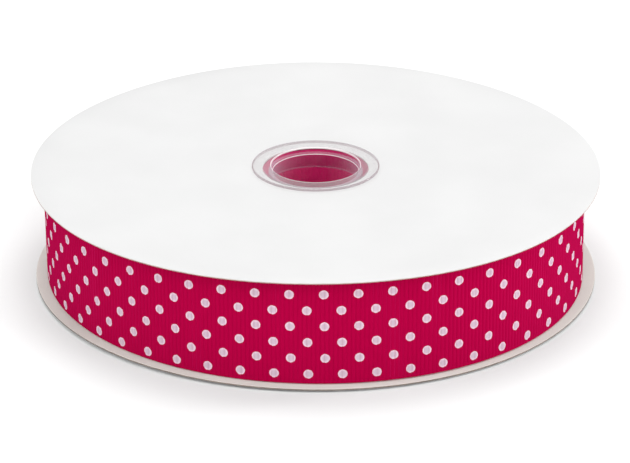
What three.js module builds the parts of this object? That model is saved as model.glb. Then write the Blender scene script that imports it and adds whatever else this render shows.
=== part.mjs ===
// A spool of printed grosgrain ribbon, lying on its side face.
//
// One length of ribbon is wound flat into a coil on a clear plastic hub, between two thin white
// cards. The hub is moulded in two halves. The lower half has a long sleeve, whose end slides
// into the socket of the upper half, and each half has a lip that holds its card.
//
// Units are millimetres and +Z is up. The origin is on the surface that the spool lies on,
// under the middle of the hub.

import * as THREE from 'three';

// Ribbon
const RIBBON_WIDTH = 38;
const RIBBON_THICKNESS = 0.32;
const COIL_RADIUS = 98;
const COIL_STEPS = 160;
const FREE_END_ANGLE = 0.5 * Math.PI;

// Cards
const CARD_RADIUS = 102.5;
const CARD_THICKNESS = 0.6;
const CARD_STEPS = 120;

// Hub
const LIP_RADIUS = 23;
const LIP_THICKNESS = 1;
const LIP_ROUNDING = 0.4;
const COLLAR_RADIUS = 18.8;
const COLLAR_DEPTH = 8.3;
const MOUTH_RADIUS = 16;
const MOUTH_ROUNDING = 0.5;
const SOCKET_DEPTH = 2.1;
const SLEEVE_INNER_RADIUS = 15.5;
const SLEEVE_OUTER_RADIUS = 16.8;
const HUB_STEPS = 72;
const ROUNDING_STEPS = 3;

// Clear distance between neighbouring pieces
const GAP = 0.3;

// Heights, stacked up from the surface that the spool lies on
const LOWER_CARD_Z = LIP_THICKNESS + GAP;
const COIL_Z = LOWER_CARD_Z + CARD_THICKNESS + GAP;
const UPPER_CARD_Z = COIL_Z + RIBBON_WIDTH + GAP;
const UPPER_LIP_Z = UPPER_CARD_Z + CARD_THICKNESS + GAP;
const SPOOL_HEIGHT = UPPER_LIP_Z + LIP_THICKNESS;

// Radii that follow from the hub's collar
const CARD_HOLE_RADIUS = COLLAR_RADIUS + GAP;
const COIL_INNER_RADIUS = COLLAR_RADIUS + GAP;
const SOCKET_RADIUS = SLEEVE_OUTER_RADIUS + GAP;

const FINISHES = {
  ribbon: { color: 0xb3003f, roughness: 0.6, metalness: 0 },
  card: { color: 0xf4f4f2, roughness: 0.55, metalness: 0 },
  plastic: { color: 0xe6e2e4, roughness: 0.12, metalness: 0, transparent: true, opacity: 0.45 },
};

/** A named mesh with a material of its own. */
function piece(name, geometry, finish) {
  const mesh = new THREE.Mesh(geometry, new THREE.MeshStandardMaterial(FINISHES[finish]));
  mesh.name = name;
  return mesh;
}

/** A solid of revolution about Z, from a closed outline of [radius, height] points. */
function turned(outline, steps) {
  const closed = [...outline, outline[0]];
  const points = closed.map(([radius, height]) => new THREE.Vector2(radius, height));
  return new THREE.LatheGeometry(points, steps).rotateX(0.5 * Math.PI);
}

/** The points of a rounded corner: a quarter turn about its centre, from the angle given. */
function roundedCorner(radius, height, size, from) {
  const points = [];
  for (let step = 0; step <= ROUNDING_STEPS; step += 1) {
    const angle = from + 0.5 * Math.PI * (step / ROUNDING_STEPS);
    points.push([radius + size * Math.cos(angle), height + size * Math.sin(angle)]);
  }
  return points;
}

/** The flat ring of card at one end of the coil. */
function card() {
  return turned(
    [
      [CARD_HOLE_RADIUS, 0],
      [CARD_RADIUS, 0],
      [CARD_RADIUS, CARD_THICKNESS],
      [CARD_HOLE_RADIUS, CARD_THICKNESS],
    ],
    CARD_STEPS,
  );
}

/** One wound face of the coil. Its radius grows by one layer of ribbon in each turn. */
function woundFace(radius) {
  const points = [];
  for (let step = 0; step <= COIL_STEPS; step += 1) {
    const turn = step / COIL_STEPS;
    const angle = FREE_END_ANGLE + 2 * Math.PI * turn;
    const grown = radius + RIBBON_THICKNESS * turn;
    points.push(new THREE.Vector2(grown * Math.cos(angle), grown * Math.sin(angle)));
  }
  return points;
}

/** The ribbon's coil. Each wound face has a step where the ribbon begins or ends. */
function coil() {
  const outline = new THREE.Shape(woundFace(COIL_RADIUS - RIBBON_THICKNESS));
  outline.holes.push(new THREE.Path(woundFace(COIL_INNER_RADIUS)));
  return new THREE.ExtrudeGeometry(outline, { depth: RIBBON_WIDTH, bevelEnabled: false });
}

/** The rounded edge of the hole through a hub half, from its wall to its lip's face, at 0. */
function mouthEdge(radius) {
  return roundedCorner(radius + MOUTH_ROUNDING, MOUTH_ROUNDING, MOUTH_ROUNDING, Math.PI);
}

/** The rim of a lip, from its face, at height 0, round to its seat on the card. */
function lipRim() {
  const radius = LIP_RADIUS - LIP_ROUNDING;
  return [
    ...roundedCorner(radius, LIP_ROUNDING, LIP_ROUNDING, 1.5 * Math.PI),
    ...roundedCorner(radius, LIP_THICKNESS - LIP_ROUNDING, LIP_ROUNDING, 0),
  ];
}

/** The lower half of the hub: lip, collar and the long sleeve. Its lip's face is at height 0. */
function sleeveHalf() {
  const sleeveEnd = SPOOL_HEIGHT - SOCKET_DEPTH - GAP;
  return turned(
    [
      [SLEEVE_INNER_RADIUS, sleeveEnd],
      ...mouthEdge(SLEEVE_INNER_RADIUS),
      ...lipRim(),
      [COLLAR_RADIUS, LIP_THICKNESS],
      [COLLAR_RADIUS, COLLAR_DEPTH],
      [SLEEVE_OUTER_RADIUS, COLLAR_DEPTH],
      [SLEEVE_OUTER_RADIUS, sleeveEnd],
    ],
    HUB_STEPS,
  );
}

/** The upper half of the hub: lip, mouth, and the collar with its socket. Its face is at 0. */
function socketHalf() {
  return turned(
    [
      [SOCKET_RADIUS, SOCKET_DEPTH],
      [MOUTH_RADIUS, SOCKET_DEPTH],
      ...mouthEdge(MOUTH_RADIUS),
      ...lipRim(),
      [COLLAR_RADIUS, LIP_THICKNESS],
      [COLLAR_RADIUS, COLLAR_DEPTH],
      [SOCKET_RADIUS, COLLAR_DEPTH],
    ],
    HUB_STEPS,
  );
}

/** The whole spool. */
function spool() {
  const group = new THREE.Group();

  const lowerCard = piece('lower_card', card(), 'card');
  lowerCard.position.z = LOWER_CARD_Z;

  const upperCard = piece('upper_card', card(), 'card');
  upperCard.position.z = UPPER_CARD_Z;

  const ribbonCoil = piece('ribbon_coil', coil(), 'ribbon');
  ribbonCoil.position.z = COIL_Z;

  const hubSleeve = piece('hub_sleeve_half', sleeveHalf(), 'plastic');

  // The upper half is modelled face down, and turned over onto the upper card.
  const hubSocket = piece('hub_socket_half', socketHalf(), 'plastic');
  hubSocket.rotation.x = Math.PI;
  hubSocket.position.z = SPOOL_HEIGHT;

  group.add(lowerCard, upperCard, ribbonCoil, hubSleeve, hubSocket);
  return group;
}

export default spool();
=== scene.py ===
"""A spool of dotted grosgrain ribbon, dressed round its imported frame.

The spool lies on its side face. One length of ribbon is wound into a coil between two thin
white cards, on a clear plastic hub that is moulded in two halves. Everything is in metres, in
the frame's own axes: +Z is up, and the camera stands on the -Y side.
"""

import logging
import math
from dataclasses import dataclass, field
from enum import Enum, IntEnum

import bpy
import numpy as np
from mathutils import Euler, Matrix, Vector


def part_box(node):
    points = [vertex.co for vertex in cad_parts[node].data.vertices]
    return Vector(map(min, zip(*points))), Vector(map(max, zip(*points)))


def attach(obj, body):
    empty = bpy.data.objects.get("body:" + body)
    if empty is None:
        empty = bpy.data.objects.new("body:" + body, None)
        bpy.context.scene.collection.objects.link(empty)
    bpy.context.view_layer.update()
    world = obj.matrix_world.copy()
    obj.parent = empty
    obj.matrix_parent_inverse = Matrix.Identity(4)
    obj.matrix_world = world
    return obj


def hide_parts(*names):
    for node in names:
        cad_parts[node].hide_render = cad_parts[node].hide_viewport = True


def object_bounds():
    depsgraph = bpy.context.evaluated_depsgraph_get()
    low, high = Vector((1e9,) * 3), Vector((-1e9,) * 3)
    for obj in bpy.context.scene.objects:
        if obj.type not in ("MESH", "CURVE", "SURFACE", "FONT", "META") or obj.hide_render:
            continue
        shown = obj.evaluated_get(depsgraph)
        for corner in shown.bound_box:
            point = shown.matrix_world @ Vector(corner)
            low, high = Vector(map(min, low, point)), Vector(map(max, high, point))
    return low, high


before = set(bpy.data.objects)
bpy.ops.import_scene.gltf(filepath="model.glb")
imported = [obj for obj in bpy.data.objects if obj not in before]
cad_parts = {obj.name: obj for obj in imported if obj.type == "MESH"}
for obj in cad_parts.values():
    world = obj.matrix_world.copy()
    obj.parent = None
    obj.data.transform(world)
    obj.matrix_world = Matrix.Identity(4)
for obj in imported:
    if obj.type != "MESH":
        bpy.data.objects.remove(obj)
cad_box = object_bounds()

LOG = logging.getLogger("spool")

MM = 0.001
FULL_TURN = 2 * math.pi
ROOT_BODY = "root"

# The ribbon's ends lie at the back of the coil, at this angle from +X.
FREE_END_ANGLE = 0.5 * math.pi

# One layer of ribbon, with the air between it and the next
LAYER = 0.32 * MM

# The Mix node's sockets for two colours, and for the colour that it gives
MIX_COLOUR_INPUTS = (6, 7)
MIX_COLOUR_OUTPUT = 2

Socket = bpy.types.NodeSocket
Value = Socket | float
Colour = tuple[float, float, float]


class Slot(Enum):
    """The record's material slots."""

    RIBBON = "ribbon"
    CARD = "card"
    PLASTIC = "clear_plastic"


class Side(Enum):
    """The two flat sides of the spool."""

    LOWER = "lower"
    UPPER = "upper"


class RibbonFace(IntEnum):
    """The finishes of the outermost turn, in the order of its material slots."""

    PRINTED = 0
    BACK = 1


class CardFace(IntEnum):
    """The finishes of a card, in the order of its material slots."""

    OUTER = 0
    INNER = 1
    CUT_EDGE = 2
    # The band low on the rim, painted dark as shade.
    SHADE_BAND = 3


class HubFace(IntEnum):
    """The finishes of a hub half, in the order of its material slots."""

    WALL = 0
    RIM = 1
    MOUTH = 2
    LIP = 3


class Seed(IntEnum):
    """The seeds of the random draws."""

    OUTER_RIBS = 1
    INNER_RIBS = 2
    WOUND_EDGES = 3
    SWAY = 5
    TWIST = 6


# Node graphs


class NodeGraph:
    """A node tree with short ways to add and link its nodes."""

    def __init__(self, tree: bpy.types.NodeTree) -> None:
        """Keeps the node tree to build in."""
        self.tree = tree

    def add(self, kind: str, **settings: object) -> bpy.types.Node:
        """Adds a node.

        Args:
            kind: The node's type name.
            **settings: Its properties.

        Returns:
            The new node.
        """
        node = self.tree.nodes.new(kind)
        for name, value in settings.items():
            setattr(node, name, value)
        return node

    def feed(self, target: Socket, value: Value) -> None:
        """Links a socket to an input, or sets the input to a number.

        Args:
            target: The input.
            value: A socket or a number.
        """
        if isinstance(value, bpy.types.NodeSocket):
            self.tree.links.new(value, target)
        else:
            target.default_value = value

    def math(self, operation: str, *values: Value) -> Socket:
        """Adds a Math node.

        Args:
            operation: Its operation.
            *values: One to three inputs.

        Returns:
            Its output.
        """
        node = self.add("ShaderNodeMath", operation=operation)
        for target, value in zip(node.inputs, values):
            self.feed(target, value)
        return node.outputs[0]

    def ramp(self, value: Value, low: Value, high: Value) -> Socket:
        """A smooth step from 0 at low to 1 at high.

        Args:
            value: What is read.
            low: Where the step starts.
            high: Where it ends.

        Returns:
            The step's value.
        """
        node = self.add("ShaderNodeMapRange", interpolation_type="SMOOTHSTEP")
        self.feed(node.inputs["Value"], value)
        self.feed(node.inputs["From Min"], low)
        self.feed(node.inputs["From Max"], high)
        return node.outputs["Result"]

    def span(self, share: Value, low: Value, high: Value) -> Socket:
        """The value that lies a share of the way from low to high.

        Args:
            share: From 0 to 1.
            low: The value at 0.
            high: The value at 1.

        Returns:
            The value between them.
        """
        node = self.add("ShaderNodeMapRange")
        self.feed(node.inputs["Value"], share)
        self.feed(node.inputs["To Min"], low)
        self.feed(node.inputs["To Max"], high)
        return node.outputs["Result"]

    def blend(self, share: Value, first: Socket | Colour, second: Socket | Colour) -> Socket:
        """Mixes two colours.

        Args:
            share: The second colour's share.
            first: A colour, or a colour socket.
            second: A colour, or a colour socket.

        Returns:
            The mixed colour.
        """
        node = self.add("ShaderNodeMix", data_type="RGBA")
        self.feed(node.inputs["Factor"], share)
        for index, colour in zip(MIX_COLOUR_INPUTS, (first, second)):
            value = colour if isinstance(colour, bpy.types.NodeSocket) else (*colour, 1)
            self.feed(node.inputs[index], value)
        return node.outputs[MIX_COLOUR_OUTPUT]

    def bump(self, height: Socket, distance: float, strength: float) -> Socket:
        """Adds a Bump node.

        Args:
            height: The height, from 0 to 1.
            distance: What a height of 1 stands for, in metres.
            strength: The bump's strength.

        Returns:
            The normal.
        """
        node = self.add("ShaderNodeBump")
        node.inputs["Strength"].default_value = strength
        node.inputs["Distance"].default_value = distance
        self.feed(node.inputs["Height"], height)
        return node.outputs["Normal"]

    def group(self, tree: bpy.types.NodeTree, **values: Value) -> bpy.types.Node:
        """Places a node group.

        Args:
            tree: The group's tree.
            **values: Its inputs, with spaces in their names written as underscores.

        Returns:
            The group's node.
        """
        node = self.add("ShaderNodeGroup", node_tree=tree)
        for name, value in values.items():
            self.feed(node.inputs[name.replace("_", " ")], value)
        return node


def new_group(name: str, inputs: dict[str, float], outputs: tuple[str, ...]) -> NodeGraph:
    """Starts a shader node group.

    Args:
        name: The group's name.
        inputs: Its inputs, each with its usual value.
        outputs: The names of its outputs.

    Returns:
        The graph inside it, with its group input and output nodes named in and out.
    """
    tree = bpy.data.node_groups.new(name, "ShaderNodeTree")
    for label, value in inputs.items():
        socket = tree.interface.new_socket(name=label, in_out="INPUT", socket_type="NodeSocketFloat")
        socket.default_value = value
    for label in outputs:
        tree.interface.new_socket(name=label, in_out="OUTPUT", socket_type="NodeSocketFloat")
    graph = NodeGraph(tree)
    graph.add("NodeGroupInput", name="in")
    graph.add("NodeGroupOutput", name="out")
    return graph


def mottle_group() -> bpy.types.NodeTree:
    """Builds the soft unevenness that paper, plastic and cloth share.

    Returns:
        A group with a slow Cloud and a fine Grain, each from 0 to 1.
    """
    darkest, brightest = 0.25, 0.75
    sizes = {"Cloud Size": 20 * MM, "Grain Size": 0.4 * MM}
    graph = new_group("Mottle", sizes, ("Cloud", "Grain"))
    ins, outs = graph.tree.nodes["in"].outputs, graph.tree.nodes["out"].inputs
    place = graph.add("ShaderNodeTexCoord").outputs["Object"]
    for label, detail in (("Cloud", 3.0), ("Grain", 2.0)):
        noise = graph.add("ShaderNodeTexNoise")
        graph.feed(noise.inputs["Vector"], place)
        graph.feed(noise.inputs["Scale"], graph.math("DIVIDE", 1.0, ins[f"{label} Size"]))
        graph.feed(noise.inputs["Detail"], detail)
        graph.feed(outs[label], graph.ramp(noise.outputs["Fac"], darkest, brightest))
    return graph.tree


def weave_group() -> bpy.types.NodeTree:
    """Builds the ribbed weave: thick weft ribs across the ribbon, fine warp threads over them.

    Returns:
        A group with the weave's Height, the Crest of the ribs and a Tone for each rib.
    """
    thread_dip = 0.5
    counts = {"Ribs": 400.0, "Thread Pitch": 0.3 * MM}
    graph = new_group("Ribbed Weave", counts, ("Height", "Crest", "Tone"))
    ins, outs = graph.tree.nodes["in"].outputs, graph.tree.nodes["out"].inputs
    place = graph.add("ShaderNodeSeparateXYZ")
    graph.feed(place.inputs[0], graph.add("ShaderNodeTexCoord").outputs["Object"])
    back = graph.math("MULTIPLY", place.outputs["X"], -1.0)
    angle = graph.math("ARCTAN2", back, place.outputs["Y"])
    turn = graph.math("FRACT", graph.math("ADD", graph.math("DIVIDE", angle, FULL_TURN), 1.0))
    rib = graph.math("MULTIPLY", turn, ins["Ribs"])
    crest = graph.math("ABSOLUTE", graph.math("COSINE", graph.math("MULTIPLY", rib, math.pi)))
    thread = graph.math("DIVIDE", place.outputs["Z"], ins["Thread Pitch"])
    number = graph.math("ROUND", rib)
    staggered = graph.math("MULTIPLY_ADD", number, 0.5, thread)
    wave = graph.math("SINE", graph.math("MULTIPLY", staggered, FULL_TURN))
    graph.feed(outs["Height"], graph.math("MULTIPLY", crest, graph.span(wave, thread_dip, 1.0)))
    graph.feed(outs["Crest"], crest)
    tone = graph.add("ShaderNodeTexWhiteNoise", noise_dimensions="1D")
    graph.feed(tone.inputs["W"], number)
    graph.feed(outs["Tone"], tone.outputs["Value"])
    return graph.tree


@dataclass(frozen=True)
class Wave:
    """One slow wave round the spool: so many periods in a turn, counted from the front."""

    order: int
    cosine: float
    sine: float

    def at(self, turned: np.ndarray) -> np.ndarray:
        """The wave's height at angles counted from the front toward +X."""
        return self.cosine * np.cos(self.order * turned) + self.sine * np.sin(self.order * turned)


@dataclass(frozen=True)
class DotPrint:
    """The printed dots: six staggered rows, square to each other.

    The columns are counted round the coil from the front. Their spacing drifts a little, as the
    ribbon was wound with more pull at some places than at others. Toward the spool's left and
    right the rows sink and draw together, and the columns lean outward.
    """

    diameter: float = 3.28 * MM
    rows: int = 6
    middle: float = 18.47 * MM
    middle_tilt: float = 0.6 * MM
    middle_sink: float = 2.5 * MM
    row_pitch: float = 5.97 * MM
    pitch_tilt: float = 0.15 * MM
    pitch_squeeze: float = 0.71 * MM
    first_column: float = -0.854
    columns_per_radian: float = 15.22
    drifts: tuple[Wave, ...] = (
        Wave(1, 0.281, 0.351),
        Wave(2, 0.172, 0.26),
        Wave(3, -0.12, 0.19),
    )
    lean: float = 3.7
    side_lean: float = 17.0
    out_of_reach: float = 9.0

    @property
    def middle_row(self) -> float:
        """The row number of the middle line, half way between the third and fourth rows."""
        return 0.5 * (self.rows - 1)

    def row(
        self, graph: NodeGraph, side: Socket, height: Socket, foot: float
    ) -> tuple[Socket, Socket, Socket]:
        """Counts the rows upward, with the lowest as row 0.

        Args:
            graph: The graph to build in.
            side: The sine of the angle from the front.
            height: The height over the frame's origin.
            foot: The height of the ribbon's lower edge.

        Returns:
            The row's number, the rows' spacing, and the height over the middle line.
        """
        side_2 = graph.math("MULTIPLY", side, side)
        side_4 = graph.math("MULTIPLY", side_2, side_2)
        middle = graph.math("MULTIPLY_ADD", side, self.middle_tilt, foot + self.middle)
        middle = graph.math("MULTIPLY_ADD", side_2, -self.middle_sink, middle)
        pitch = graph.math("MULTIPLY_ADD", side, self.pitch_tilt, self.row_pitch)
        pitch = graph.math("MULTIPLY_ADD", side_4, -self.pitch_squeeze, pitch)
        up = graph.math("SUBTRACT", height, middle)
        return graph.math("ADD", graph.math("DIVIDE", up, pitch), self.middle_row), pitch, up

    def column(
        self, graph: NodeGraph, angle: Socket, side: Socket, up: Socket
    ) -> tuple[Socket, Socket]:
        """Counts the columns round the coil from the front.

        Args:
            graph: The graph to build in.
            angle: The angle from the front.
            side: Its sine.
            up: The height over the middle line.

        Returns:
            The column's number, and how many columns there are in a radian here.
        """
        column = graph.math("MULTIPLY_ADD", angle, self.columns_per_radian, self.first_column)
        slope: Value = self.columns_per_radian
        for drift in self.drifts:
            phase = graph.math("MULTIPLY", angle, float(drift.order))
            cosine, sine = graph.math("COSINE", phase), graph.math("SINE", phase)
            column = graph.math("MULTIPLY_ADD", cosine, drift.cosine, column)
            column = graph.math("MULTIPLY_ADD", sine, drift.sine, column)
            slope = graph.math("MULTIPLY_ADD", sine, -drift.order * drift.cosine, slope)
            slope = graph.math("MULTIPLY_ADD", cosine, drift.order * drift.sine, slope)
        side_3 = graph.math("MULTIPLY", graph.math("MULTIPLY", side, side), side)
        lean = graph.math("MULTIPLY_ADD", side_3, -self.side_lean, self.lean)
        return graph.math("MULTIPLY_ADD", up, lean, column), slope

    def group(self, coil_radius: float, coil_foot: float) -> bpy.types.NodeTree:
        """Builds the print's node group.

        Args:
            coil_radius: The coil's outer radius.
            coil_foot: The height of the ribbon's lower edge.

        Returns:
            A group with the Distance from the nearest dot's middle, in dot radii.
        """
        graph = new_group("Printed Dots", {"Edge Waver": 0.0}, ("Distance",))
        ins, outs = graph.tree.nodes["in"].outputs, graph.tree.nodes["out"].inputs
        place = graph.add("ShaderNodeSeparateXYZ")
        graph.feed(place.inputs[0], graph.add("ShaderNodeTexCoord").outputs["Object"])
        forward = graph.math("MULTIPLY", place.outputs["Y"], -1.0)
        angle = graph.math("ARCTAN2", place.outputs["X"], forward)
        side = graph.math("SINE", angle)
        row, pitch, up = self.row(graph, side, place.outputs["Z"], coil_foot)
        column, slope = self.column(graph, angle, side, up)

        # A dot stands wherever the numbers of its column and its row add up to an odd number.
        total = graph.math("MULTIPLY_ADD", graph.math("ADD", column, row), 0.5, -0.5)
        difference = graph.math("MULTIPLY_ADD", graph.math("SUBTRACT", column, row), 0.5, -0.5)
        first, second = graph.math("ROUND", total), graph.math("ROUND", difference)
        dot_column = graph.math("ADD", graph.math("ADD", first, second), 1.0)
        dot_row = graph.math("SUBTRACT", first, second)

        radius = 0.5 * self.diameter
        along = graph.math("DIVIDE", graph.math("SUBTRACT", column, dot_column), slope)
        along = graph.math("MULTIPLY", along, coil_radius / radius)
        across = graph.math("MULTIPLY", graph.math("SUBTRACT", row, dot_row), pitch)
        across = graph.math("DIVIDE", across, radius)
        square = graph.math("MULTIPLY_ADD", along, along, graph.math("MULTIPLY", across, across))
        distance = graph.math("ADD", graph.math("SQRT", square), ins["Edge Waver"])
        off_rows = graph.math("ABSOLUTE", graph.math("SUBTRACT", dot_row, self.middle_row))
        beyond = graph.math("GREATER_THAN", off_rows, self.middle_row + 0.5)
        graph.feed(outs["Distance"], graph.math("MULTIPLY_ADD", beyond, self.out_of_reach, distance))
        return graph.tree


@dataclass(frozen=True)
class SharedNodes:
    """The node groups that the finishes share."""

    mottle: bpy.types.NodeTree
    weave: bpy.types.NodeTree
    dots: bpy.types.NodeTree


# Finishes


def new_material(name: str) -> tuple[bpy.types.Material, NodeGraph, bpy.types.Node]:
    """Starts a material.

    Args:
        name: The material's name.

    Returns:
        The material, its graph and its Principled shader.
    """
    material = bpy.data.materials.new(name)
    material.use_nodes = True
    graph = NodeGraph(material.node_tree)
    return material, graph, material.node_tree.nodes["Principled BSDF"]


@dataclass(frozen=True)
class RibbonFinish:
    """Ribbed polyester ribbon, plain or with white printed dots."""

    name: str
    ribs: int
    printed: bool
    crest_colour: Colour = (0.4, 0.0006, 0.044)
    # The valley colour is a little darker than the crest colour: painted shade between the ribs.
    shaded_valley_colour: Colour = (0.37, 0.0005, 0.04)
    ink_rim: Colour = (0.76, 0.58, 0.67)
    ink_middle: Colour = (0.58, 0.445, 0.53)
    bounce_colour: Colour = (0.2, 0.13, 0.14)
    sheen_tint: Colour = (0.35, 0.11, 0.56)
    sheen_weight: float = 0.12
    sheen_roughness: float = 0.5
    smoothest: float = 0.46
    roughest: float = 0.6
    thread_pitch: float = 0.3 * MM
    thread_relief: float = 0.05 * MM
    thread_strength: float = 0.6
    cloud_size: float = 6 * MM
    grain_size: float = 0.35 * MM
    rib_tone: float = 0.07
    cloud_tone: float = 0.05
    valley_end: float = 0.05
    crest_start: float = 0.75
    rim_start: float = 0.45
    rim_end: float = 0.95
    ink_edge: float = 0.04
    edge_waver: float = 0.03
    valley_ink: float = 0.86

    def ink(
        self, graph: NodeGraph, dots: bpy.types.NodeTree, cloth: Socket, lit: Socket, grain: Socket
    ) -> Socket:
        """Prints the dots on the cloth. Seen by bounced light, the whole face is nearly neutral.

        Args:
            graph: The material's graph.
            dots: The node group of the print.
            cloth: The cloth's colour.
            lit: 0 in the valleys between the ribs, and 1 on their crests.
            grain: The fine grain, from 0 to 1.

        Returns:
            The printed face's colour.
        """
        waver = graph.span(grain, -self.edge_waver, self.edge_waver)
        distance = graph.group(dots, Edge_Waver=waver).outputs["Distance"]
        rim = graph.ramp(distance, self.rim_start, self.rim_end)
        ink = graph.blend(rim, self.ink_middle, self.ink_rim)
        outside = graph.ramp(distance, 1 - self.ink_edge, 1 + self.ink_edge)
        cover = graph.math("SUBTRACT", 1.0, outside)
        cover = graph.math("MULTIPLY", cover, graph.span(lit, self.valley_ink, 1.0))
        bounced = graph.add("ShaderNodeLightPath").outputs["Is Diffuse Ray"]
        return graph.blend(bounced, graph.blend(cover, cloth, ink), self.bounce_colour)

    def material(self, shared: SharedNodes) -> bpy.types.Material:
        """Builds the material.

        Args:
            shared: The shared node groups.

        Returns:
            The material.
        """
        material, graph, shader = new_material(self.name)
        weave = graph.group(shared.weave, Ribs=float(self.ribs), Thread_Pitch=self.thread_pitch)
        mottle = graph.group(shared.mottle, Cloud_Size=self.cloud_size, Grain_Size=self.grain_size)
        grain = mottle.outputs["Grain"]
        tone = graph.span(weave.outputs["Tone"], -self.rib_tone, self.rib_tone)
        cloud = graph.span(mottle.outputs["Cloud"], -self.cloud_tone, self.cloud_tone)
        # Toward the valleys between the ribs the cloth darkens to the valley colour: painted shade.
        lit = graph.ramp(weave.outputs["Crest"], self.valley_end, self.crest_start)
        share = graph.math("ADD", lit, graph.math("ADD", tone, cloud))
        colour = graph.blend(share, self.shaded_valley_colour, self.crest_colour)
        if self.printed:
            colour = self.ink(graph, shared.dots, colour, lit, grain)
        relief = graph.bump(weave.outputs["Height"], self.thread_relief, self.thread_strength)
        graph.feed(shader.inputs["Base Color"], colour)
        graph.feed(shader.inputs["Roughness"], graph.span(grain, self.smoothest, self.roughest))
        graph.feed(shader.inputs["Normal"], relief)
        shader.inputs["Specular IOR Level"].default_value = 0.0
        shader.inputs["Sheen Weight"].default_value = self.sheen_weight
        shader.inputs["Sheen Roughness"].default_value = self.sheen_roughness
        shader.inputs["Sheen Tint"].default_value = (*self.sheen_tint, 1)
        return material


@dataclass(frozen=True)
class CardFinish:
    """A smooth face of the cards."""

    name: str
    bright: Colour
    dull: Colour
    cloud_size: float = 28 * MM
    grain_size: float = 0.5 * MM
    grain_share: float = 0.15
    grain_relief: float = 0.01 * MM
    grain_strength: float = 0.5
    smoothest: float = 0.5
    roughest: float = 0.62
    gloss: float = 0.35

    def material(self, shared: SharedNodes) -> bpy.types.Material:
        """Builds the material.

        Args:
            shared: The shared node groups.

        Returns:
            The material.
        """
        material, graph, shader = new_material(self.name)
        mottle = graph.group(shared.mottle, Cloud_Size=self.cloud_size, Grain_Size=self.grain_size)
        cloud, grain = mottle.outputs["Cloud"], mottle.outputs["Grain"]
        mixed = graph.math("ADD", cloud, graph.span(grain, -self.grain_share, self.grain_share))
        relief = graph.bump(grain, self.grain_relief, self.grain_strength)
        graph.feed(shader.inputs["Base Color"], graph.blend(mixed, self.dull, self.bright))
        graph.feed(shader.inputs["Roughness"], graph.span(cloud, self.smoothest, self.roughest))
        graph.feed(shader.inputs["Normal"], relief)
        shader.inputs["Specular IOR Level"].default_value = self.gloss
        return material


@dataclass(frozen=True)
class BoardEdgeFinish:
    """The cut edge of a card, where the core of the board shows."""

    name: str
    core: Colour
    fibre: Colour
    cloud_size: float = 3 * MM
    grain_size: float = 0.12 * MM
    grain_relief: float = 0.05 * MM
    grain_strength: float = 0.8
    smoothest: float = 0.75
    roughest: float = 0.95

    def material(self, shared: SharedNodes) -> bpy.types.Material:
        """Builds the material.

        Args:
            shared: The shared node groups.

        Returns:
            The material.
        """
        material, graph, shader = new_material(self.name)
        mottle = graph.group(shared.mottle, Cloud_Size=self.cloud_size, Grain_Size=self.grain_size)
        cloud, grain = mottle.outputs["Cloud"], mottle.outputs["Grain"]
        mixed = graph.math("MULTIPLY", grain, cloud)
        relief = graph.bump(grain, self.grain_relief, self.grain_strength)
        graph.feed(shader.inputs["Base Color"], graph.blend(mixed, self.core, self.fibre))
        graph.feed(shader.inputs["Roughness"], graph.span(grain, self.smoothest, self.roughest))
        graph.feed(shader.inputs["Normal"], relief)
        return material


OUTER_FACE = CardFinish("white card face", bright=(0.636, 0.636, 0.636), dull=(0.612, 0.612, 0.612))
# The cards' inner faces are painted lighter than their outer faces: painted light, standing in for
# light that reaches the lower card's face in the upper card's shade.
LIGHTENED_INNER_FACE = CardFinish("card inner face painted lighter", bright=(0.76, 0.71, 0.67), dull=(0.71, 0.665, 0.63))
COATED_EDGE = BoardEdgeFinish("coated cut edge", core=(0.6, 0.52, 0.5), fibre=(0.8, 0.74, 0.72))
# The band low on the upper card's rim is painted dark brown: painted shade under the card's edge.
SHADE_BAND_EDGE = BoardEdgeFinish("painted shade under card edge", core=(0.22, 0.1, 0.08), fibre=(0.36, 0.2, 0.17))
# The lower card's cut edge is painted darker than the upper card's: painted shade near the floor.
SHADED_LOW_CARD_EDGE = BoardEdgeFinish("lower card edge painted dark as shade", core=(0.18, 0.14, 0.12), fibre=(0.38, 0.32, 0.28))


@dataclass(frozen=True)
class ClearPlasticFinish:
    """Thin clear moulded plastic with a milky haze.

    The haze goes from one share where the plastic is seen face on to another where it is seen
    edge on.
    """

    name: str
    milk: Colour
    face_on: float
    edge_on: float
    cloud_size: float = 7 * MM
    grain_size: float = 0.6 * MM
    cloud_relief: float = 0.03 * MM
    cloud_strength: float = 0.4
    clearest: float = -0.01
    milkiest: float = 0.02
    smoothest: float = 0.12
    roughest: float = 0.22

    def material(self, shared: SharedNodes) -> bpy.types.Material:
        """Builds the material. Lamps shine through it.

        Args:
            shared: The shared node groups.

        Returns:
            The material.
        """
        material, graph, shader = new_material(self.name)
        mottle = graph.group(shared.mottle, Cloud_Size=self.cloud_size, Grain_Size=self.grain_size)
        cloud = mottle.outputs["Cloud"]
        relief = graph.bump(cloud, self.cloud_relief, self.cloud_strength)
        shader.inputs["Base Color"].default_value = (*self.milk, 1)
        graph.feed(shader.inputs["Roughness"], graph.span(cloud, self.smoothest, self.roughest))
        graph.feed(shader.inputs["Normal"], relief)
        facing = graph.add("ShaderNodeLayerWeight").outputs["Facing"]
        haze = graph.span(graph.math("MULTIPLY", facing, facing), self.face_on, self.edge_on)
        haze = graph.math("ADD", haze, graph.span(cloud, self.clearest, self.milkiest))
        shadow = graph.add("ShaderNodeLightPath").outputs["Is Shadow Ray"]
        shown = graph.math("MULTIPLY", haze, graph.math("SUBTRACT", 1.0, shadow))
        mixed = graph.add("ShaderNodeMixShader")
        graph.feed(mixed.inputs[0], shown)
        graph.feed(mixed.inputs[1], graph.add("ShaderNodeBsdfTransparent").outputs[0])
        graph.feed(mixed.inputs[2], shader.outputs[0])
        graph.feed(material.node_tree.nodes["Material Output"].inputs["Surface"], mixed.outputs[0])
        return material


# The hub's walls have a pink haze where seen edge on: painted reflection of the red ribbon in the clear
# plastic.
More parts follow.
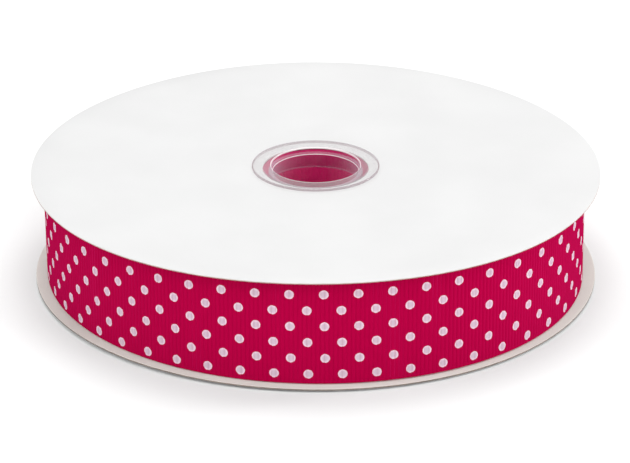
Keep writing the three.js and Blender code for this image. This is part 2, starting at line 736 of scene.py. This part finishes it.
HUB_WALL_REFLECTION = ClearPlasticFinish("hub wall painted ribbon reflection", milk=(0.72, 0.5, 0.61), face_on=0.01, edge_on=0.5)
# The lip's rim has a dark mauve haze: painted shade along the rim, tinted mauve as painted reflection
# of the red ribbon.
HUB_RIM_SHADE = ClearPlasticFinish("hub rim painted shade", milk=(0.24, 0.15, 0.18), face_on=0.6, edge_on=0.35)
# The bore's rounded mouth has a thick near-white haze: a painted highlight along the mouth's edge.
HUB_MOUTH_HIGHLIGHT = ClearPlasticFinish("hub mouth painted highlight", milk=(0.9, 0.86, 0.88), face_on=0.6, edge_on=0.85)
HUB_LIP = ClearPlasticFinish("clear hub lip", milk=(0.53, 0.515, 0.52), face_on=0.01, edge_on=0.8)


@dataclass(frozen=True)
class FloorFinish:
    """The plain pale floor."""

    name: str = "pale floor"
    colour: Colour = (0.865, 0.865, 0.865)

    def material(self) -> bpy.types.Material:
        """Builds the material.

        Returns:
            The material.
        """
        material, _, shader = new_material(self.name)
        shader.inputs["Base Color"].default_value = (*self.colour, 1)
        shader.inputs["Roughness"].default_value = 1.0
        shader.inputs["Specular IOR Level"].default_value = 0.0
        return material


# Meshes


@dataclass
class SweptLoop:
    """A closed outline carried round the Z axis: one outline of points for each station.

    The outlines run anticlockwise in radius and height. A full ring joins its last station to its
    first. An open strip has an end face at each end, and its outline is two equal rows of points,
    up the outer face and down the inner one.
    """

    angles: np.ndarray
    radii: np.ndarray
    heights: np.ndarray
    ring: bool = True

    def vertices(self) -> np.ndarray:
        """Works out the points, station by station.

        Returns:
            One row of X, Y and Z for each point.
        """
        across = np.cos(self.angles)[:, None] * self.radii
        deep = np.sin(self.angles)[:, None] * self.radii
        return np.stack([across, deep, self.heights], axis=-1).reshape(-1, 3)

    def faces(self) -> list[list[int]]:
        """Works out the faces between the stations, and the ends of an open strip.

        Returns:
            The numbers of each face's corners.
        """
        stations, points = self.radii.shape
        steps = np.arange(stations if self.ring else stations - 1)
        station, point = np.meshgrid(steps, np.arange(points), indexing="ij")
        here, onward = station * points, (station + 1) % stations * points
        above = (point + 1) % points
        corners = [here + point, onward + point, onward + above, here + above]
        found = np.stack(corners, axis=-1).reshape(-1, 4).tolist()
        if not self.ring:
            last = (stations - 1) * points
            for outer in range(points // 2 - 1):
                inner = points - 1 - outer
                start = [outer, outer + 1, inner - 1, inner]
                found.append(start)
                found.append([last + corner for corner in reversed(start)])
        return found

    def build(self, name: str, sharp_angle: float) -> bpy.types.Object:
        """Makes the object.

        Args:
            name: The object's name.
            sharp_angle: Edges that turn by more than this angle, in degrees, stay sharp.

        Returns:
            The object, at the frame's origin.
        """
        mesh = bpy.data.meshes.new(name)
        mesh.from_pydata(self.vertices().tolist(), [], self.faces())
        mesh.shade_smooth()
        mesh.set_sharp_from_angle(angle=math.radians(sharp_angle))
        made = bpy.data.objects.new(name, mesh)
        bpy.context.scene.collection.objects.link(made)
        return made


def rounded_corner(
    centre: tuple[float, float], size: float, start: float, steps: int
) -> list[tuple[float, float]]:
    """Points of radius and height on a quarter turn about a centre, from the start angle on."""
    turns = start + 0.5 * math.pi * np.arange(steps + 1) / steps
    return [(centre[0] + size * math.cos(turn), centre[1] + size * math.sin(turn)) for turn in turns]


def smooth_noise(places: np.ndarray, step: float, seed: Seed) -> np.ndarray:
    """Smooth random values from -1 to 1 along a line.

    Args:
        places: Where they are read.
        step: The distance between two random values.
        seed: The seed of the random draw.

    Returns:
        One value for each place.
    """
    count = round(np.ptp(places) / step + 2)
    drawn = np.random.default_rng(seed).uniform(-1, 1, count)
    spot = (places - places.min()) / step
    before = np.floor(spot).astype(int)
    share = spot - before
    share = share * share * (3 - 2 * share)
    return drawn[before] * (1 - share) + drawn[before + 1] * share


def dress(piece: bpy.types.Object, slot: Slot, *nodes: str) -> None:
    """Sets a piece on its body, in place of the CAD nodes that it stands for.

    Args:
        piece: The piece.
        slot: The record's material slot of the piece. It is not used.
        *nodes: The CAD nodes.
    """
    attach(piece, ROOT_BODY)
    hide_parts(*nodes)


def from_front(angles: np.ndarray) -> np.ndarray:
    """Angles counted from the front toward +X, for angles counted from +X."""
    return angles + 0.5 * math.pi


# Sub-assemblies


@dataclass
class RibbonCoil:
    """The wound ribbon: its outermost turn as a strip of its own, and the turns inside it."""

    node: str = "ribbon_coil"
    inner_radius: float = 19.1 * MM
    cloth: float = 0.3 * MM
    rib_pitch: float = 1.52 * MM
    rib_relief: float = 0.24 * MM
    bore_relief: float = 0.06 * MM
    rib_roundness: float = 0.6
    lowest_rib: float = 0.75
    points_per_rib: int = 6
    middle_rows: int = 9
    selvedge: float = 0.9 * MM
    selvedge_rows: tuple[float, ...] = (0.0, 0.1, 0.3, 0.6, 1.0)
    selvedge_tuck: float = 0.07 * MM
    end_rings: int = 40
    end_unevenness: float = 0.14 * MM
    sway: float = 0.05 * MM
    sway_length: float = 7 * MM
    free_end_lift: float = 0.25 * MM
    free_end_share: float = 0.01
    left_swell: float = 0.75 * MM
    swell_focus: int = 8
    outer_sharp_angle: float = 70.0
    inner_sharp_angle: float = 60.0
    waves: tuple[Wave, ...] = (
        Wave(0, 0.2 * MM, 0.0),
        Wave(2, 0.86 * MM, 0.686 * MM),
        Wave(4, -0.3 * MM, 0.0),
    )
    low: Vector = field(init=False)
    high: Vector = field(init=False)

    def __post_init__(self) -> None:
        """Reads the coil's place from the frame."""
        self.low, self.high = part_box(self.node)

    @property
    def radius(self) -> float:
        """The coil's outer radius, at the ribbon's free end."""
        return self.high.y

    @property
    def outer_ribs(self) -> int:
        """The number of ribs in the outermost turn."""
        return round(FULL_TURN * self.radius / self.rib_pitch)

    @property
    def inner_ribs(self) -> int:
        """The number of ribs in the innermost turn."""
        return round(FULL_TURN * self.inner_radius / self.rib_pitch)

    def rib_drop(self, turns: np.ndarray, ribs: int, seed: Seed) -> np.ndarray:
        """How far a ribbed face lies behind the crests of its ribs, for ribs of height 1.

        Args:
            turns: Places round the coil, from 0 to 1.
            ribs: The number of ribs in a turn.
            seed: The seed for the ribs' unevenness.

        Returns:
            One depth for each place, from 0 to 1.
        """
        crest = np.abs(np.cos(math.pi * ribs * turns)) ** self.rib_roundness
        heights = np.random.default_rng(seed).uniform(self.lowest_rib, 1.0, ribs + 1)
        height = heights[np.round(turns * ribs).astype(int) % (ribs + 1)]
        return 1 - crest * height

    def swell(self, turns: np.ndarray) -> np.ndarray:
        """How far the coil swells out on its left side, at places round it from 0 to 1."""
        turned = from_front(FREE_END_ANGLE + FULL_TURN * turns)
        return self.left_swell * np.clip(-np.sin(turned), 0, 1) ** self.swell_focus

    def bulge(self, turns: np.ndarray) -> np.ndarray:
        """How far the slightly oval coil reaches beyond its circle, at places from 0 to 1."""
        turned = from_front(FREE_END_ANGLE + FULL_TURN * turns)
        return self.swell(turns) + sum(wave.at(turned) for wave in self.waves)

    def row_heights(self) -> np.ndarray:
        """Works out the rows across the ribbon's width, closer together near its woven edges.

        Returns:
            Their heights, from the lowest.
        """
        width = self.high.z - self.low.z
        edge = self.selvedge * np.array(self.selvedge_rows)
        inner = np.linspace(self.selvedge, width - self.selvedge, self.middle_rows + 2)[1:-1]
        return self.low.z + np.concatenate([edge, inner, width - edge[::-1]])

    def slack(self, turns: np.ndarray, across: np.ndarray) -> np.ndarray:
        """How far the outermost turn stands out, as it was wound with an uneven pull.

        It never stands out beyond the coil's own radius, so the distance is below 0.

        Args:
            turns: Places round the coil, from 0 to 1.
            across: Places across the ribbon, from 0 at its lower edge to 1.

        Returns:
            One distance for each pair, in metres.
        """
        along = turns * FULL_TURN * self.radius
        sway = smooth_noise(along, self.sway_length, Seed.SWAY)
        twist = smooth_noise(along, self.sway_length, Seed.TWIST)
        return self.sway * (sway[:, None] + twist[:, None] * (across - 0.5) - 2) / 2

    def outer_turn(self) -> bpy.types.Object:
        """Makes the outermost turn, whose free end lies on the turn below it.

        Returns:
            The piece, with the finish of each of its faces chosen.
        """
        stations = self.outer_ribs * self.points_per_rib + 1
        turns = np.linspace(0, 1, stations)
        rows = self.row_heights()
        across = (rows - rows[0]) / np.ptp(rows)
        edge = np.minimum(rows - self.low.z, self.high.z - rows) / self.selvedge
        fullness = np.clip(edge, 0, 1) ** 0.5

        to_end = np.clip((turns - 1) / self.free_end_share + 1, 0, 1)
        lift = self.free_end_lift * to_end**2
        crests = self.radius - LAYER + LAYER * turns + lift + self.bulge(turns)
        depth = self.rib_relief * self.rib_drop(turns, self.outer_ribs, Seed.OUTER_RIBS)
        drop = depth[:, None] * fullness
        tuck = self.selvedge_tuck * (1 - fullness)
        flare = self.swell(turns)[:, None] * across
        outer = crests[:, None] - drop - tuck + self.slack(turns, across) + flare
        inner = (crests - self.cloth)[:, None] + flare
        loop = SweptLoop(
            angles=FREE_END_ANGLE + FULL_TURN * turns,
            radii=np.concatenate([outer, inner[:, ::-1]], axis=1),
            heights=np.tile(np.concatenate([rows, rows[::-1]]), (stations, 1)),
            ring=False,
        )
        piece = loop.build("ribbon_outer_turn", self.outer_sharp_angle)

        # Each strip of faces starts with those on the outer, printed side.
        strip = 2 * len(rows)
        place = np.arange(len(piece.data.polygons))
        printed = (place % strip < len(rows) - 1) & (place < (stations - 1) * strip)
        finish = np.where(printed, RibbonFace.PRINTED, RibbonFace.BACK).astype(np.int32)
        piece.data.polygons.foreach_set("material_index", finish)
        return piece

    def inner_turns(self) -> bpy.types.Object:
        """Makes the turns inside the outermost one, with their uneven edges on both sides.

        Returns:
            The piece.
        """
        stations = self.inner_ribs * self.points_per_rib
        turns = np.arange(stations) / stations
        outside = self.radius - 2 * LAYER + LAYER * turns + self.bulge(turns)
        depth = self.bore_relief * self.rib_drop(turns, self.inner_ribs, Seed.INNER_RIBS)
        inside = self.inner_radius + depth
        shares = np.linspace(1, 0, self.end_rings)
        across = inside[:, None] + (outside - inside)[:, None] * shares
        draw = np.random.default_rng(Seed.WOUND_EDGES)
        uneven = draw.uniform(0, self.end_unevenness, (2, self.end_rings))
        top = np.tile(self.high.z - uneven[0], (stations, 1))
        bottom = np.tile(self.low.z + uneven[1], (stations, 1))
        loop = SweptLoop(
            angles=FREE_END_ANGLE + FULL_TURN * turns,
            radii=np.concatenate([across, across[:, ::-1]], axis=1),
            heights=np.concatenate([top, bottom[:, ::-1]], axis=1),
        )
        return loop.build("ribbon_inner_turns", self.inner_sharp_angle)

    def build(self, shared: SharedNodes) -> tuple[bpy.types.Object, ...]:
        """Makes both pieces and gives them their finish.

        Args:
            shared: The shared node groups.

        Returns:
            The outermost turn, and the turns inside it.
        """
        printed = RibbonFinish("dotted ribbon face", self.outer_ribs, printed=True)
        # The ribbon's back and the inner turns are painted much lighter than the printed face: painted
        # light, standing in for light that reaches into the bore.
        plain = RibbonFinish(
            "ribbon back painted lighter",
            self.inner_ribs,
            printed=False,
            crest_colour=(0.66, 0.014, 0.14),
            shaded_valley_colour=(0.62, 0.012, 0.13),
        )
        back = plain.material(shared)
        outer = self.outer_turn()
        for material in (printed.material(shared), back):
            outer.data.materials.append(material)
        inner = self.inner_turns()
        inner.data.materials.append(back)
        for piece in (outer, inner):
            dress(piece, Slot.RIBBON, self.node)
        return outer, inner


@dataclass
class CardSide:
    """One of the two round cards.

    Attributes:
        side: The side of the spool that it is on.
        trim: How much smaller in radius than the nominal card it is cut.
        hold_radius: The radius out to which it lies flat: under the coil, or the hub's lip.
        bend: How sharply it bends toward its rim, where 1 is a straight slope.
        warp: The waves of its rim's height.
        cut_edges: The finish of its cut edge, and that of the band low on its rim, painted dark
        as shade under the card's edge, if it differs.
    """

    side: Side
    trim: float
    hold_radius: float
    bend: float
    warp: tuple[Wave, ...]
    cut_edges: tuple[BoardEdgeFinish, ...]
    hole_radius: float = 19.1 * MM
    edge_rounding: float = 0.12 * MM
    # The height of the band low on the rim that takes the painted shade.
    shade_band_height: float = 0.25 * MM
    corner_steps: int = 3
    stations: int = 360
    face_rings: int = 14
    edge_slope: float = 0.6
    sharp_angle: float = 50.0
    low: Vector = field(init=False)
    high: Vector = field(init=False)

    def __post_init__(self) -> None:
        """Reads the card's place from the frame."""
        self.low, self.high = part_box(self.node)

    @classmethod
    def lower(cls) -> "CardSide":
        """The lower card, which droops a little where it reaches out beyond the coil."""
        return cls(
            Side.LOWER,
            trim=1.0 * MM,
            hold_radius=97.0 * MM,
            bend=1.0,
            warp=(
                Wave(0, -0.2 * MM, 0.0),
                Wave(1, -0.286 * MM, -0.031 * MM),
                Wave(2, -0.066 * MM, -0.316 * MM),
            ),
            cut_edges=(SHADED_LOW_CARD_EDGE,),
        )

    @classmethod
    def upper(cls) -> "CardSide":
        """The upper card, which bows up a little at the front and the back."""
        return cls(
            Side.UPPER,
            trim=0.0,
            hold_radius=23.5 * MM,
            bend=1.5,
            warp=(
                Wave(0, 0.12 * MM, 0.0),
                Wave(2, 0.42 * MM, 0.08 * MM),
                Wave(4, 0.14 * MM, 0.0),
            ),
            cut_edges=(COATED_EDGE, SHADE_BAND_EDGE),
        )

    @property
    def node(self) -> str:
        """The CAD node that the card stands for."""
        return f"{self.side.value}_card"

    @property
    def rim_radius(self) -> float:
        """The card's outer radius."""
        return self.high.x - self.trim

    @property
    def rings(self) -> list[float]:
        """The radii of the faces' rings, on the flat part and on the part that bends."""
        size = self.edge_rounding
        flat = np.linspace(self.hole_radius + size, self.hold_radius, self.face_rings)[1:-1]
        bent = np.linspace(self.hold_radius, self.rim_radius - size, self.face_rings)[:-1]
        return [*flat, *bent]

    def lift(self, angles: np.ndarray, radii: np.ndarray) -> np.ndarray:
        """How far the card stands off its flat place, growing outward to the rim.

        Args:
            angles: Angles from +X.
            radii: Distances from the axis.

        Returns:
            A height for each pair, in metres.
        """
        share = np.clip((radii - self.hold_radius) / (self.high.x - self.hold_radius), 0, 1)
        rim = sum(wave.at(from_front(angles)) for wave in self.warp)
        return rim[:, None] * share[None, :] ** self.bend

    def low_outline(self) -> list[tuple[float, float]]:
        """Works out the section's lower side, from the hole out to the top of the rim's low band.

        Returns:
            Points of radius and height.
        """
        size = self.edge_rounding
        corner = (self.rim_radius - size, self.low.z + size)
        return [
            *((ring, self.low.z) for ring in self.rings),
            *rounded_corner(corner, size, 1.5 * math.pi, self.corner_steps),
            (self.rim_radius, self.low.z + self.shade_band_height),
        ]

    def high_outline(self) -> list[tuple[float, float]]:
        """Works out the rest of the section, from the rim over the top and down the hole.

        Returns:
            Points of radius and height.
        """
        size, steps = self.edge_rounding, self.corner_steps
        hole, rim = self.hole_radius + size, self.rim_radius - size
        top, bottom = self.high.z - size, self.low.z + size
        return [
            *rounded_corner((rim, top), size, 0.0, steps),
            *((ring, self.high.z) for ring in reversed(self.rings)),
            *rounded_corner((hole, top), size, 0.5 * math.pi, steps),
            *rounded_corner((hole, bottom), size, math.pi, steps),
        ]

    def build(
        self, shared: SharedNodes, faces: tuple[bpy.types.Material, ...]
    ) -> bpy.types.Object:
        """Makes the card and gives it its finish.

        Args:
            shared: The shared node groups.
            faces: The finishes of the outer and the inner face.

        Returns:
            The card.
        """
        lower = self.low_outline()
        points = np.array(lower + self.high_outline())
        angles = FULL_TURN * np.arange(self.stations) / self.stations
        loop = SweptLoop(
            angles=angles,
            radii=np.tile(points[:, 0], (self.stations, 1)),
            heights=points[None, :, 1] + self.lift(angles, points[:, 0]),
        )
        piece = loop.build(f"{self.side.value}_card_board", self.sharp_angle)
        edges = [finish.material(shared) for finish in self.cut_edges]
        for material in (*faces, *edges):
            piece.data.materials.append(material)
        for polygon in piece.data.polygons:
            low_down = polygon.index % len(points) < len(lower) - 1
            polygon.material_index = self.face(polygon.normal.z, low_down)
        dress(piece, Slot.CARD, self.node)
        return piece

    def face(self, slope: float, low_down: bool) -> CardFace:
        """Chooses the finish of one face of the mesh.

        Args:
            slope: The upward part of its normal.
            low_down: Whether it belongs to the lower part of the section.

        Returns:
            The finish.
        """
        if abs(slope) < self.edge_slope:
            # The upper card's low rim band takes the dark finish of painted shade.
            return CardFace.SHADE_BAND if low_down and len(self.cut_edges) > 1 else CardFace.CUT_EDGE
        # Inner faces take the finish that is painted lighter: painted light.
        looks_in = (slope > 0) == (self.side is Side.LOWER)
        return CardFace.INNER if looks_in else CardFace.OUTER


@dataclass
class HubHalf:
    """One moulded half of the clear hub: a lip over its card, a collar, and a sleeve or socket."""

    side: Side
    lip: float = 1.0 * MM
    lip_rounding: float = 0.4 * MM
    collar_radius: float = 18.8 * MM
    collar_depth: float = 8.3 * MM
    mouth_rounding: float = 0.5 * MM
    mouth_radius: float = 16.0 * MM
    socket_radius: float = 17.1 * MM
    socket_depth: float = 2.1 * MM
    sleeve_inner: float = 15.5 * MM
    sleeve_outer: float = 16.8 * MM
    fillet: float = 0.25 * MM
    wall_slope: float = 0.1
    flat_slope: float = 0.97
    corner_steps: int = 6
    stations: int = 192
    sharp_angle: float = 35.0
    low: Vector = field(init=False)
    high: Vector = field(init=False)

    def __post_init__(self) -> None:
        """Reads the half's place from the frame."""
        self.low, self.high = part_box(self.node)

    @property
    def node(self) -> str:
        """The CAD node that the half stands for."""
        return {Side.LOWER: "hub_sleeve_half", Side.UPPER: "hub_socket_half"}[self.side]

    def mouth_edge(self, radius: float) -> list[tuple[float, float]]:
        """The rounded edge of the bore, from its wall, at this radius, to the lip's face."""
        size = self.mouth_rounding
        return rounded_corner((radius + size, size), size, math.pi, self.corner_steps)

    def lip_rim(self) -> list[tuple[float, float]]:
        """Works out the lip's rim, from its face round to its seat on the card.

        Returns:
            Points of radius and depth.
        """
        size = self.lip_rounding
        radius = self.high.x - size
        face = rounded_corner((radius, size), size, 1.5 * math.pi, self.corner_steps)
        return face + rounded_corner((radius, self.lip - size), size, 0.0, self.corner_steps)

    def collar_end(self, inside: float) -> list[tuple[float, float]]:
        """Works out the collar, from the lip to its end, with its edges rounded.

        Args:
            inside: The radius of the collar's inner wall.

        Returns:
            Points of radius and depth.
        """
        size = self.fillet
        level = self.collar_depth - size
        outer = rounded_corner((self.collar_radius - size, level), size, 0.0, self.corner_steps)
        if self.side is Side.UPPER:
            outer += rounded_corner((inside + size, level), size, 0.5 * math.pi, self.corner_steps)
        else:
            outer += [(inside, self.collar_depth)]
        return [(self.collar_radius, self.lip), *outer]

    def outline(self) -> list[tuple[float, float]]:
        """Works out the half's section, with depth measured from its lip's face.

        Returns:
            Points of radius and depth.
        """
        if self.side is Side.UPPER:
            return [
                (self.socket_radius, self.socket_depth),
                (self.mouth_radius, self.socket_depth),
                *self.mouth_edge(self.mouth_radius),
                *self.lip_rim(),
                *self.collar_end(self.socket_radius),
            ]
        size, steps = self.fillet, self.corner_steps
        end = self.high.z - size
        return [
            *rounded_corner((self.sleeve_inner + size, end), size, 0.5 * math.pi, steps),
            *self.mouth_edge(self.sleeve_inner),
            *self.lip_rim(),
            *self.collar_end(self.sleeve_outer),
            *rounded_corner((self.sleeve_outer - size, end), size, 0.0, steps),
        ]

    def face(self, away: float, slope: float) -> HubFace:
        """Chooses the finish of one face of the mesh.

        Args:
            away: Its distance from the axis.
            slope: The upward part of its normal.

        Returns:
            The finish.
        """
        # The rim takes the dark haze of painted shade.
        if away > self.high.x - self.lip_rounding:
            return HubFace.RIM
        rounded = self.wall_slope < abs(slope) < self.flat_slope
        # The rounded mouth takes the near-white haze of the painted highlight.
        if rounded and away < self.mouth_radius + self.mouth_rounding:
            return HubFace.MOUTH
        return HubFace.LIP if away > self.collar_radius else HubFace.WALL

    def build(self, plastics: tuple[bpy.types.Material, ...]) -> bpy.types.Object:
        """Makes the half and gives it its finish.

        Args:
            plastics: The hub's finishes, in the order of HubFace.

        Returns:
            The half.
        """
        points = np.array(self.outline())
        heights = points[:, 1]
        if self.side is Side.UPPER:
            points = points[::-1]
            heights = self.high.z - points[:, 1]
        loop = SweptLoop(
            angles=FULL_TURN * np.arange(self.stations) / self.stations,
            radii=np.tile(points[:, 0], (self.stations, 1)),
            heights=np.tile(heights, (self.stations, 1)),
        )
        piece = loop.build(f"{self.side.value}_hub_half", self.sharp_angle)
        for plastic in plastics:
            piece.data.materials.append(plastic)
        for polygon in piece.data.polygons:
            away = math.hypot(polygon.center.x, polygon.center.y)
            polygon.material_index = self.face(away, polygon.normal.z)
        dress(piece, Slot.PLASTIC, self.node)
        return piece


@dataclass
class SoftBox:
    """A large soft lamp that faces the spool."""

    name: str
    azimuth: float
    elevation: float
    distance: float
    size: float
    power: float

    def build(self, target: Vector) -> None:
        """Makes the lamp.

        Args:
            target: The point that it faces.
        """
        lamp = bpy.data.lights.new(self.name, "AREA")
        lamp.size = self.size
        lamp.energy = self.power
        made = bpy.data.objects.new(self.name, lamp)
        around, up = math.radians(self.azimuth), math.radians(self.elevation)
        away = Vector((math.sin(around) * math.cos(up), -math.cos(around) * math.cos(up), math.sin(up)))
        made.location = target + away * self.distance
        made.rotation_euler = (-away).to_track_quat("-Z", "Y").to_euler()
        bpy.context.scene.collection.objects.link(made)


@dataclass
class Studio:
    """The camera, the pale floor and the soft light."""

    lens: float = 248.2
    camera_back: float = 1.4429
    camera_height: float = 0.6482
    pitch: float = 23.66
    yaw: float = -0.009
    nearest: float = 0.05
    farthest: float = 50.0
    floor_size: float = 12.0
    sky_strength: float = 0.48
    boxes: tuple[SoftBox, ...] = (
        SoftBox("right box", azimuth=57, elevation=20, distance=1.5, size=0.6, power=6.2),
        SoftBox("far right box", azimuth=106, elevation=16, distance=1.5, size=0.3, power=6.4),
        SoftBox("high front box", azimuth=0, elevation=55, distance=1.5, size=1.0, power=7.0),
        SoftBox("low front box", azimuth=0, elevation=18, distance=1.8, size=1.2, power=2.2),
        SoftBox("left box", azimuth=-66, elevation=25, distance=1.5, size=1.0, power=7.2),
        SoftBox("back box", azimuth=180, elevation=62, distance=1.5, size=1.2, power=13.4),
    )

    def stand_camera(self) -> None:
        """Sets up the camera at the photo's viewing angle."""
        camera = bpy.data.cameras.new("camera")
        camera.lens = self.lens
        camera.clip_start = self.nearest
        camera.clip_end = self.farthest
        holder = bpy.data.objects.new("camera", camera)
        holder.location = (0.0, -self.camera_back, self.camera_height)
        holder.rotation_euler = Euler((math.radians(90 - self.pitch), 0.0, math.radians(-self.yaw)))
        bpy.context.scene.collection.objects.link(holder)
        bpy.context.scene.camera = holder

    def lay_floor(self) -> None:
        """Lays the floor under the spool."""
        half = 0.5 * self.floor_size
        plane = bpy.data.meshes.new("floor")
        corners = [(-half, -half, 0), (half, -half, 0), (half, half, 0), (-half, half, 0)]
        plane.from_pydata(corners, [], [(0, 1, 2, 3)])
        plane.materials.append(FloorFinish().material())
        floor = bpy.data.objects.new("floor", plane)
        bpy.context.scene.collection.objects.link(floor)

    def light_sky(self) -> None:
        """Lights the plain white sky."""
        world = bpy.data.worlds.new("sky")
        world.use_nodes = True
        sky = world.node_tree.nodes["Background"]
        sky.inputs["Color"].default_value = (1, 1, 1, 1)
        sky.inputs["Strength"].default_value = self.sky_strength
        bpy.context.scene.world = world

    def build(self) -> None:
        """Makes the camera, the floor, the sky and the lamps."""
        bpy.context.scene.view_settings.view_transform = "Standard"
        self.stand_camera()
        self.lay_floor()
        self.light_sky()
        middle = (cad_box[0] + cad_box[1]) / 2
        for box in self.boxes:
            box.build(middle)


def main() -> None:
    """Builds the studio and the spool, piece by piece."""
    logging.basicConfig(level=logging.INFO, format="%(name)s: %(message)s")
    Studio().build()
    coil = RibbonCoil()
    shared = SharedNodes(
        mottle=mottle_group(),
        weave=weave_group(),
        dots=DotPrint().group(coil.radius, coil.low.z),
    )
    pieces = list(coil.build(shared))
    faces = tuple(finish.material(shared) for finish in (OUTER_FACE, LIGHTENED_INNER_FACE))
    plastics = tuple(finish.material(shared) for finish in (HUB_WALL_REFLECTION, HUB_RIM_SHADE, HUB_MOUTH_HIGHLIGHT, HUB_LIP))
    for card in (CardSide.lower(), CardSide.upper()):
        pieces.append(card.build(shared, faces))
        pieces.append(HubHalf(card.side).build(plastics))
    for piece in pieces:
        LOG.info("%s: %d faces", piece.name, len(piece.data.polygons))


if __name__ == "__main__":
    main()
